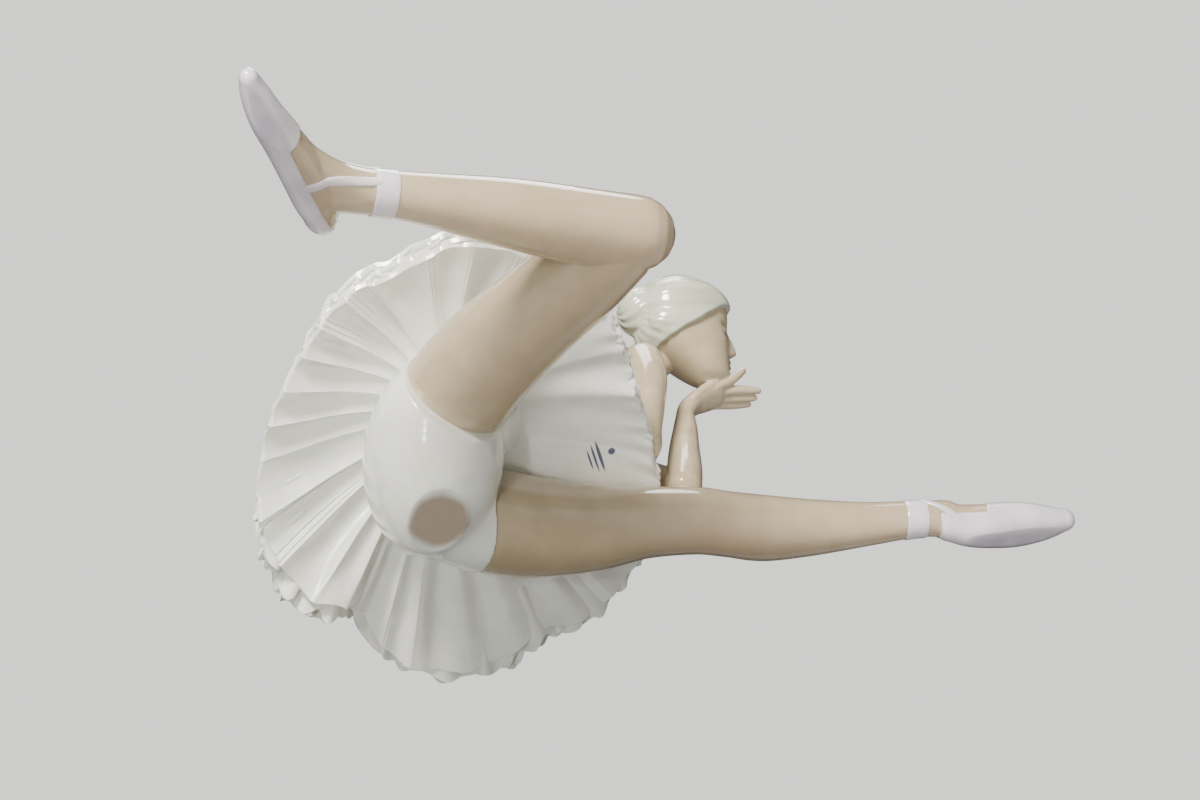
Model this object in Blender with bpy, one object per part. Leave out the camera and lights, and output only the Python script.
# Seated porcelain ballerina: one fired piece, resting on its left buttock, left heel and right foot.
# Lengths are in millimetres and are turned to metres as the points are made.
# Axes: +X along the stretched left leg, +Y to the figure's left, +Z up; the seat spot is the origin.
import math

import bmesh
import bpy
from mathutils import Matrix, Vector

MM = 0.001

# Overall sizes
GRAIN = 1.0
SIDES = 28
TRIANGLES = 9700
SEAT_LEVEL = 0.0

# Head
HEAD_CENTRE = Vector((109.0, 13.6, 117.0))
HEAD_UP = Vector((0.0, -0.42, 0.906)).normalized()
HEAD_FORWARD = Vector((1.0, 0.0, 0.0))

# Pelvis: it leans onto the left buttock, whose underside is the seat spot
PELVIS_CENTRE = Vector((0.0, -6.0, 21.9))
PELVIS_RADII = (22.0, 34.0, 22.5)
PELVIS_LEAN = 15.0
BASQUE_CENTRE = Vector((5.0, -6.0, 41.0))
BASQUE_RADII = (20.0, 27.0, 8.0)

# Tutu
TUTU_CENTRE = Vector((12.0, 4.0, 0.0))
TUTU_ROOT = Vector((6.0, -8.0, 35.0))
TUTU_ROOT_SIDE = 24.0
TUTU_ROOT_DEPTH = 17.0
TUTU_LAYERS = 4
TUTU_THICK = 2.2
TUTU_RISE = 8.0
TUTU_RISE_FRONT = 3.0
TUTU_STEPS = 14
TUTU_SPOKES = 288
PLEATS = 46

# The rim of the skirt, walked anticlockwise: (bearing in degrees, radius, height of the underside)
RIM = (
    (-180.0, 66.5, 31.0),
    (-160.0, 65.0, 36.0),
    (-145.0, 65.5, 42.0),
    (-126.0, 68.5, 48.0),
    (-112.0, 67.5, 51.0),
    (-97.0, 72.5, 53.0),
    (-85.0, 71.0, 55.0),
    (-71.0, 68.0, 57.0),
    (-58.0, 66.0, 55.0),
    (-46.0, 65.4, 50.0),
    (-36.0, 63.4, 46.0),
    (-18.0, 62.0, 42.0),
    (2.0, 67.0, 38.0),
    (10.0, 71.5, 35.0),
    (21.0, 77.0, 29.5),
    (35.0, 79.0, 23.0),
    (44.0, 79.0, 18.0),
    (55.0, 78.0, 14.0),
    (63.0, 74.0, 11.0),
    (76.0, 81.0, 9.0),
    (87.0, 83.0, 8.0),
    (98.0, 81.0, 8.0),
    (112.0, 74.5, 9.0),
    (123.0, 68.0, 11.5),
    (131.0, 66.5, 11.0),
    (142.0, 72.0, 10.0),
    (157.0, 71.5, 15.0),
    (170.0, 69.5, 23.0),
)

# Each limb is a run of stations: (x, y, z, half width across, half height)
LEFT_LEG = (
    (10.0, 15.0, 19.0, 16.0, 17.4),
    (22.0, 19.0, 19.4, 17.6, 18.2),
    (34.0, 22.5, 20.0, 17.4, 17.6),
    (56.0, 23.0, 20.0, 15.0, 15.4),
    (74.0, 20.8, 20.2, 12.2, 12.8),
    (92.0, 19.8, 20.0, 11.4, 12.0),
    (104.0, 20.6, 19.0, 11.2, 11.6),
    (117.0, 21.2, 17.6, 11.6, 11.4),
    (134.0, 19.2, 15.8, 9.8, 9.8),
    (153.0, 15.4, 13.6, 7.4, 7.8),
    (169.0, 11.4, 11.8, 6.0, 6.8),
    (179.0, 10.2, 10.6, 5.8, 7.2),
)
LEFT_FOOT = (
    (180.0, 10.2, 8.8, 5.4, 7.4),
    (187.0, 10.6, 7.8, 6.6, 7.8),
    (195.0, 10.0, 7.0, 7.8, 7.2),
    (204.0, 8.6, 6.0, 8.4, 6.2),
    (213.0, 6.8, 5.0, 6.4, 5.0),
    (219.5, 5.0, 4.4, 3.6, 3.6),
)
RIGHT_LEG = (
    (3.0, -20.0, 31.0, 18.0, 18.0),
    (13.0, -42.0, 28.0, 17.0, 17.0),
    (25.0, -62.0, 24.4, 15.2, 15.4),
    (37.0, -80.0, 20.6, 13.4, 13.6),
    (45.0, -93.5, 17.6, 11.8, 12.2),
    (47.0, -98.0, 16.8, 10.8, 11.2),
)
RIGHT_SHIN = (
    (50.0, -99.5, 16.4, 11.0, 11.4),
    (36.0, -101.2, 16.0, 11.0, 11.2),
    (22.0, -103.6, 15.2, 10.7, 10.8),
    (8.0, -106.4, 14.4, 9.6, 9.8),
    (-8.0, -109.2, 13.6, 7.8, 8.2),
    (-22.0, -111.4, 12.8, 6.5, 6.8),
    (-33.0, -112.6, 12.0, 6.1, 6.6),
    (-38.0, -112.8, 11.4, 6.0, 6.4),
)
RIGHT_FOOT = (
    (-41.4, -106.0, 11.4, 4.8, 6.2),
    (-42.8, -111.0, 10.4, 6.0, 7.0),
    (-46.4, -120.0, 8.6, 6.2, 6.8),
    (-51.6, -129.5, 6.8, 5.3, 5.8),
    (-56.8, -138.5, 4.6, 4.4, 5.1),
    (-60.0, -145.5, 3.8, 3.4, 3.9),
    (-61.6, -150.0, 3.0, 2.2, 2.6),
)
RIGHT_INSTEP = (
    (-28.0, -112.4, 12.4, 5.8, 6.2),
    (-37.0, -115.5, 11.4, 5.6, 6.2),
    (-45.0, -121.5, 9.6, 5.0, 5.6),
    (-52.0, -129.5, 7.4, 4.0, 4.6),
)
TORSO = (
    (2.0, -10.0, 27.0, 27.0, 20.0),
    (12.0, -7.0, 39.0, 23.0, 17.0),
    (24.0, 0.0, 51.0, 17.5, 13.0),
    (38.0, 9.0, 63.0, 19.0, 14.0),
    (52.0, 18.0, 75.0, 22.0, 15.5),
    (65.0, 26.0, 86.0, 24.0, 13.5),
    (75.0, 31.5, 94.0, 24.0, 10.0),
    (82.0, 32.0, 98.5, 13.0, 8.5),
)
TORSO_ACROSS = Vector((-0.20, 0.955, -0.16)).normalized()
NECK = (
    (80.0, 32.0, 97.0, 9.0, 8.0),
    (88.0, 27.0, 103.0, 7.0, 7.2),
    (96.0, 21.5, 109.0, 6.6, 7.0),
    (103.0, 17.0, 113.0, 7.2, 7.4),
)
LEFT_ARM = (
    (71.0, 53.0, 90.0, 7.8, 7.8),
    (75.0, 48.0, 81.0, 7.2, 7.4),
    (81.5, 39.0, 66.0, 6.2, 6.6),
    (88.0, 29.0, 50.0, 5.8, 6.0),
    (92.8, 21.6, 37.5, 6.0, 6.2),
)
LEFT_FOREARM = (
    (92.6, 21.0, 38.5, 6.4, 6.4),
    (95.0, 22.0, 48.0, 6.6, 6.4),
    (98.0, 23.6, 61.0, 5.8, 5.6),
    (101.5, 25.4, 74.0, 4.6, 4.6),
    (104.6, 27.4, 86.0, 3.9, 3.5),
    (106.0, 27.6, 90.0, 4.4, 3.6),
)
LEFT_PALM = (
    (104.5, 27.6, 88.0, 4.4, 3.4),
    (109.0, 27.2, 91.4, 6.0, 3.2),
    (114.0, 26.4, 93.4, 6.6, 3.0),
    (119.0, 25.6, 94.8, 6.2, 2.6),
)
LEFT_FINGERS = (
    ((117.5, 21.2, 94.6), (124.0, 20.4, 98.0), (129.5, 19.4, 102.4), 2.0),
    ((118.5, 24.2, 94.8), (126.8, 24.0, 96.2), (135.2, 24.2, 96.4), 2.0),
    ((118.5, 27.2, 94.6), (126.6, 27.4, 95.4), (134.2, 27.4, 95.8), 1.9),
    ((117.5, 30.0, 94.0), (125.2, 30.4, 94.8), (132.4, 30.2, 95.2), 1.7),
)
LEFT_THUMB = ((108.0, 22.4, 90.8), (113.0, 19.4, 94.2), (117.0, 18.4, 96.6), 2.1)
RIGHT_ARM = (
    (87.0, 11.0, 96.0, 7.4, 7.6),
    (86.0, 8.5, 84.0, 6.8, 7.2),
    (83.0, 7.5, 68.0, 5.8, 6.0),
    (79.5, 7.5, 54.0, 5.4, 5.6),
    (78.0, 8.0, 46.0, 5.4, 5.6),
)
RIGHT_FOREARM = (
    (78.0, 8.0, 46.0, 5.6, 5.6),
    (75.5, 18.5, 47.0, 5.8, 5.6),
    (69.5, 31.0, 44.5, 4.6, 4.4),
    (63.8, 39.6, 41.6, 3.8, 3.4),
    (61.2, 42.6, 40.2, 4.2, 3.2),
)
RIGHT_PALM = (
    (61.8, 42.0, 40.6, 4.2, 3.2),
    (57.5, 46.6, 38.0, 5.8, 3.0),
    (53.5, 50.6, 35.6, 6.2, 2.9),
    (51.5, 52.6, 34.4, 5.8, 2.6),
)
RIGHT_FINGERS = (
    ((54.4, 55.4, 33.8), (51.4, 58.6, 31.4), (48.6, 61.6, 29.2), 1.7),
    ((52.5, 53.6, 33.8), (48.9, 57.6, 31.0), (45.6, 61.2, 28.4), 1.9),
    ((50.6, 51.7, 33.9), (46.8, 55.6, 31.2), (43.2, 59.4, 28.6), 2.0),
    ((48.6, 49.8, 34.0), (45.0, 53.4, 31.6), (41.8, 56.6, 29.4), 2.0),
)
RIGHT_THUMB = ((56.4, 44.2, 38.0), (52.0, 45.4, 37.2), (48.4, 47.2, 35.8), 2.0)

# Level sections of the head, chin to crown: (height, face, back, half width)
HEAD = (
    (-21.5, 11.8, 3.0, 4.5),
    (-19.0, 14.6, -1.0, 8.0),
    (-14.5, 15.2, -7.0, 10.8),
    (-9.0, 15.4, -13.0, 12.8),
    (-3.0, 15.8, -17.0, 14.0),
    (3.0, 16.2, -18.8, 14.6),
    (9.0, 16.8, -19.6, 15.0),
    (14.0, 15.2, -18.4, 14.4),
    (18.5, 10.0, -14.4, 11.6),
    (21.4, 3.0, -8.0, 6.4),
)


# Points between the named stations, on a smooth line through all of them
def between(rows, steps):
    result = []
    last = len(rows) - 1
    for i in range(last):
        before = rows[max(i - 1, 0)]
        here = rows[i]
        there = rows[i + 1]
        after = rows[min(i + 2, last)]
        for step in range(steps):
            t = step / steps
            row = []
            for a, b, c, d in zip(before, here, there, after):
                bend = 2 * a - 5 * b + 4 * c - d
                twist = 3 * b - a - 3 * c + d
                row.append(0.5 * (2 * b + (c - a) * t + bend * t * t + twist * t ** 3))
            result.append(tuple(row))
    result.append(tuple(rows[last]))
    return result


# A closed solid skinned over rings of points, with flat ends
def skin(name, rings):
    mesh = bmesh.new()
    rows = []
    for ring in rings:
        rows.append([mesh.verts.new(point * MM) for point in ring])
    for low, high in zip(rows, rows[1:]):
        count = len(low)
        for i in range(count):
            j = (i + 1) % count
            mesh.faces.new((low[i], low[j], high[j], high[i]))
    mesh.faces.new(list(reversed(rows[0])))
    mesh.faces.new(rows[-1])
    bmesh.ops.recalc_face_normals(mesh, faces=mesh.faces)
    data = bpy.data.meshes.new(name)
    mesh.to_mesh(data)
    mesh.free()
    made = bpy.data.objects.new(name, data)
    bpy.context.scene.collection.objects.link(made)
    return made


# One limb: oval rings square to its path, with rounded ends
def limb(name, stations, across, steps=4, sides=SIDES):
    rows = between(stations, steps)
    centres = [Vector(row[:3]) for row in rows]
    rings = []
    for i, row in enumerate(rows):
        along = centres[min(i + 1, len(rows) - 1)] - centres[max(i - 1, 0)]
        along.normalize()
        wide = (across - along * across.dot(along)).normalized()
        tall = along.cross(wide)
        if i == 0:
            caps = (0.35, 0.75, 0.94)
            for size in caps:
                back = math.sqrt(1 - size * size) * row[4]
                rings.append(oval(centres[0] - along * back, wide, tall, row[3] * size, row[4] * size, sides))
        rings.append(oval(centres[i], wide, tall, row[3], row[4], sides))
        if i == len(rows) - 1:
            for size in (0.94, 0.75, 0.35):
                front = math.sqrt(1 - size * size) * row[4]
                rings.append(oval(centres[i] + along * front, wide, tall, row[3] * size, row[4] * size, sides))
    return skin(name, rings)


def oval(centre, wide, tall, half_wide, half_tall, sides):
    points = []
    for i in range(sides):
        turn = 2 * math.pi * i / sides
        points.append(centre + wide * (math.cos(turn) * half_wide) + tall * (math.sin(turn) * half_tall))
    return points


def ball(name, centre, radii, turn):
    mesh = bmesh.new()
    bmesh.ops.create_uvsphere(mesh, u_segments=SIDES, v_segments=18, radius=1.0)
    place = Matrix.Translation(centre * MM) @ turn.to_4x4() @ Matrix.Diagonal((*(Vector(radii) * MM), 1.0))
    mesh.transform(place)
    data = bpy.data.meshes.new(name)
    mesh.to_mesh(data)
    mesh.free()
    made = bpy.data.objects.new(name, data)
    bpy.context.scene.collection.objects.link(made)
    return made


def finger(name, points):
    base, middle, tip, half = points
    rows = (
        (*base, half, half),
        (*middle, half * 0.92, half * 0.92),
        (*tip, half * 0.72, half * 0.72),
    )
    return limb(name, rows, Vector((0.2, 1.0, 0.3)), steps=4, sides=12)


# Head frame: columns are forward, left and up
def head_turn():
    left = HEAD_UP.cross(HEAD_FORWARD).normalized()
    forward = left.cross(HEAD_UP).normalized()
    return Matrix((forward, left, HEAD_UP)).transposed()


def in_head(forward, left, up):
    return HEAD_CENTRE + head_turn() @ Vector((forward, left, up))


def head(name):
    rings = []
    for up, face, back, half in between(HEAD, 3):
        middle = 0.5 * (face + back) - 0.12 * (face - back)
        ring = []
        for i in range(SIDES):
            turn = 2 * math.pi * i / SIDES
            reach = face - middle if math.cos(turn) > 0 else middle - back
            ring.append(in_head(middle + reach * math.cos(turn), half * math.sin(turn), up))
        rings.append(ring)
    return skin(name, rings)


# The skirt: radius and height of its rim at a bearing, by smooth blending between the named rim points
def rim(bearing):
    bearing = (bearing + 180.0) % 360.0 - 180.0
    count = len(RIM)
    for i in range(count):
        start = RIM[i][0]
        end = RIM[(i + 1) % count][0] + (360.0 if i == count - 1 else 0.0)
        if start <= bearing < end:
            t = (bearing - start) / (end - start)
            rows = [RIM[(i + k) % count] for k in (-1, 0, 1, 2)]
            values = []
            for column in (1, 2):
                a, b, c, d = (row[column] for row in rows)
                bend = 2 * a - 5 * b + 4 * c - d
                twist = 3 * b - a - 3 * c + d
                values.append(0.5 * (2 * b + (c - a) * t + bend * t * t + twist * t ** 3))
            return values
    return [RIM[0][1], RIM[0][2]]


def bump(bearing, centre, width):
    away = (bearing - centre + 180.0) % 360.0 - 180.0
    return math.exp(-(away / width) ** 2)


# How deep the pleats are at a bearing: crisp behind, soft at the left hip, none on the front panel
def pleat_depth(bearing):
    front = bump(bearing, -8.0, 34.0)
    left = bump(bearing, 82.0, 42.0)
    return max(0.0, 1.7 * (1 - front) * (1 - 0.55 * left))


def skirt_point(bearing, t, layer):
    radius, height = rim(bearing)
    turn = math.radians(bearing)
    rise = layer / (TUTU_LAYERS - 1)
    stack = TUTU_RISE + (TUTU_RISE_FRONT - TUTU_RISE) * min(1.0, 1.25 * bump(bearing, -14.0, 36.0))
    root = TUTU_ROOT + Vector((TUTU_ROOT_DEPTH * math.cos(turn), TUTU_ROOT_SIDE * math.sin(turn), 0.0))
    root.z += -0.26 * TUTU_ROOT_SIDE * math.sin(turn) - 0.10 * TUTU_ROOT_DEPTH * math.cos(turn) + 9.0 * rise
    ruffle = math.sin(math.radians(bearing) * 29 + 1.3 * layer)
    reach = radius * (0.955 + 0.035 * rise) + 1.3 * ruffle
    edge = TUTU_CENTRE + Vector((reach * math.cos(turn), reach * math.sin(turn), height + stack * rise))
    point = root.lerp(edge, t)
    swell = 2.5 * math.sin(math.pi * t)
    wave = math.sin(turn * PLEATS + 0.9 * math.sin(turn * 5) + 2.1 * layer)
    frill = math.sin(turn * 29 + 1.9 * layer) * t ** 6
    fold = 4.0 * bump(bearing, 118.0, 9.0) - 3.0 * bump(bearing, 136.0, 10.0)
    ridge = 2.2 * bump(bearing, -24.0, 5.0)
    depth = pleat_depth(bearing) * min(1.0, 1.6 * t)
    point.z += swell + depth * wave + 1.2 * frill + (fold + ridge) * t * t
    return point


def skirt_sheet(name, layer, first, last, thick):
    mesh = bmesh.new()
    grid = []
    for side in (0, 1):
        rows = []
        for step in range(TUTU_STEPS + 1):
            t = first + (last - first) * step / TUTU_STEPS
            row = []
            for spoke in range(TUTU_SPOKES):
                point = skirt_point(360.0 * spoke / TUTU_SPOKES, t, layer)
                point.z += side * thick
                row.append(mesh.verts.new(point * MM))
            rows.append(row)
        grid.append(rows)
    low, high = grid
    for spoke in range(TUTU_SPOKES):
        nxt = (spoke + 1) % TUTU_SPOKES
        for step in range(TUTU_STEPS):
            mesh.faces.new((low[step][spoke], low[step][nxt], low[step + 1][nxt], low[step + 1][spoke]))
            mesh.faces.new((high[step][spoke], high[step + 1][spoke], high[step + 1][nxt], high[step][nxt]))
        mesh.faces.new((low[0][spoke], high[0][spoke], high[0][nxt], low[0][nxt]))
        mesh.faces.new((low[-1][spoke], low[-1][nxt], high[-1][nxt], high[-1][spoke]))
    bmesh.ops.recalc_face_normals(mesh, faces=mesh.faces)
    data = bpy.data.meshes.new(name)
    mesh.to_mesh(data)
    mesh.free()
    made = bpy.data.objects.new(name, data)
    bpy.context.scene.collection.objects.link(made)
    return made


# The body of clay between the lowest and highest layer, short of the frilled edge
def skirt_core(name):
    mesh = bmesh.new()
    low = []
    high = []
    for step in range(TUTU_STEPS + 1):
        t = 0.94 * step / TUTU_STEPS
        low.append([])
        high.append([])
        for spoke in range(TUTU_SPOKES):
            bearing = 360.0 * spoke / TUTU_SPOKES
            under = skirt_point(bearing, t, 0)
            over = skirt_point(bearing, t, TUTU_LAYERS - 1)
            low[step].append(mesh.verts.new((under + Vector((0, 0, 0.6))) * MM))
            high[step].append(mesh.verts.new((over + Vector((0, 0, 0.9))) * MM))
    for spoke in range(TUTU_SPOKES):
        nxt = (spoke + 1) % TUTU_SPOKES
        for step in range(TUTU_STEPS):
            mesh.faces.new((low[step][spoke], low[step][nxt], low[step + 1][nxt], low[step + 1][spoke]))
            mesh.faces.new((high[step][spoke], high[step + 1][spoke], high[step + 1][nxt], high[step][nxt]))
        mesh.faces.new((low[0][spoke], high[0][spoke], high[0][nxt], low[0][nxt]))
        mesh.faces.new((low[-1][spoke], low[-1][nxt], high[-1][nxt], high[-1][spoke]))
    bmesh.ops.recalc_face_normals(mesh, faces=mesh.faces)
    data = bpy.data.meshes.new(name)
    mesh.to_mesh(data)
    mesh.free()
    made = bpy.data.objects.new(name, data)
    bpy.context.scene.collection.objects.link(made)
    return made


def join(objects, name):
    bpy.ops.object.select_all(action="DESELECT")
    for each in objects:
        each.select_set(True)
    bpy.context.view_layer.objects.active = objects[0]
    bpy.ops.object.join()
    objects[0].name = name
    objects[0].data.name = name
    return objects[0]


def apply(target, kind, **settings):
    change = target.modifiers.new(kind.title(), kind)
    for key, value in settings.items():
        setattr(change, key, value)
    bpy.context.view_layer.objects.active = target
    bpy.ops.object.modifier_apply(modifier=change.name)


# Only the outer surface stays: any shell shut inside the clay is dropped
def outer_shell(target):
    mesh = bmesh.new()
    mesh.from_mesh(target.data)
    left = set(mesh.verts)
    shells = []
    while left:
        start = left.pop()
        shell = {start}
        queue = [start]
        while queue:
            vert = queue.pop()
            for edge in vert.link_edges:
                other = edge.other_vert(vert)
                if other in left:
                    left.remove(other)
                    shell.add(other)
                    queue.append(other)
        shells.append(shell)
    shells.sort(key=len, reverse=True)
    for shell in shells[1:]:
        bmesh.ops.delete(mesh, geom=list(shell), context="VERTS")
    mesh.to_mesh(target.data)
    mesh.free()


# Porcelain never goes below the level it stands on: points that would are laid flat on it
def flatten_base(target):
    for vert in target.data.vertices:
        if vert.co.z < SEAT_LEVEL * MM:
            vert.co.z = SEAT_LEVEL * MM


def glaze(name, colour):
    material = bpy.data.materials.new(name)
    material.use_nodes = True
    shader = material.node_tree.nodes["Principled BSDF"]
    shader.inputs["Base Color"].default_value = colour
    shader.inputs["Roughness"].default_value = 0.12
    return material


def body_parts():
    up = Vector((0.0, 0.0, 1.0))
    side = Vector((0.0, 1.0, 0.0))
    parts = [
        limb("left_leg", LEFT_LEG, side),
        limb("left_foot", LEFT_FOOT, side),
        limb("right_leg", RIGHT_LEG, Vector((0.85, 0.53, 0.0))),
        limb("right_shin", RIGHT_SHIN, side),
        limb("right_foot", RIGHT_FOOT, Vector((0.9, -0.4, 0.0))),
        limb("right_instep", RIGHT_INSTEP, Vector((0.6, 0.8, 0.0))),
        limb("torso", TORSO, TORSO_ACROSS),
        limb("neck", NECK, side),
        limb("left_arm", LEFT_ARM, up),
        limb("left_forearm", LEFT_FOREARM, side),
        limb("left_palm", LEFT_PALM, side),
        limb("right_arm", RIGHT_ARM, side),
        limb("right_forearm", RIGHT_FOREARM, up),
        limb("right_palm", RIGHT_PALM, Vector((0.72, 0.70, 0.0))),
        head("head"),
    ]
    for i, points in enumerate(LEFT_FINGERS + (LEFT_THUMB,)):
        parts.append(finger(f"left_finger_{i}", points))
    for i, points in enumerate(RIGHT_FINGERS + (RIGHT_THUMB,)):
        parts.append(finger(f"right_finger_{i}", points))
    turn = head_turn()
    pelvis = Matrix.Rotation(math.radians(-PELVIS_LEAN), 3, "X")
    parts.append(ball("pelvis", PELVIS_CENTRE, PELVIS_RADII, pelvis))
    parts.append(ball("basque", BASQUE_CENTRE, BASQUE_RADII, pelvis))
    parts.append(ball("hair", in_head(-3.6, 0.0, 3.4), (19.6, 16.8, 19.8), turn))
    parts.append(ball("bun", in_head(-17.5, 0.0, 9.5), (8.8, 9.6, 9.6), turn))
    parts.append(ball("nose", in_head(15.6, 0.0, -5.8), (3.2, 1.8, 3.6), turn))
    return parts


def build():
    for old in list(bpy.data.objects):
        bpy.data.objects.remove(old, do_unlink=True)
    parts = body_parts()
    parts.append(skirt_core("core"))
    for layer in range(TUTU_LAYERS):
        parts.append(skirt_sheet(f"layer_{layer}", layer, 0.75, 1.0, TUTU_THICK))
    figure = join(parts, "ballerina")
    apply(figure, "REMESH", mode="VOXEL", voxel_size=GRAIN * MM, adaptivity=0.0)
    outer_shell(figure)
    apply(figure, "SMOOTH", factor=0.5, iterations=2)
    flatten_base(figure)
    faces = sum(len(face.vertices) - 2 for face in figure.data.polygons)
    apply(figure, "TRIANGULATE")
    apply(figure, "DECIMATE", decimate_type="COLLAPSE", ratio=TRIANGLES / faces)
    flatten_base(figure)
    figure.data.materials.append(glaze("glazed porcelain", (0.80, 0.79, 0.74, 1.0)))


build()
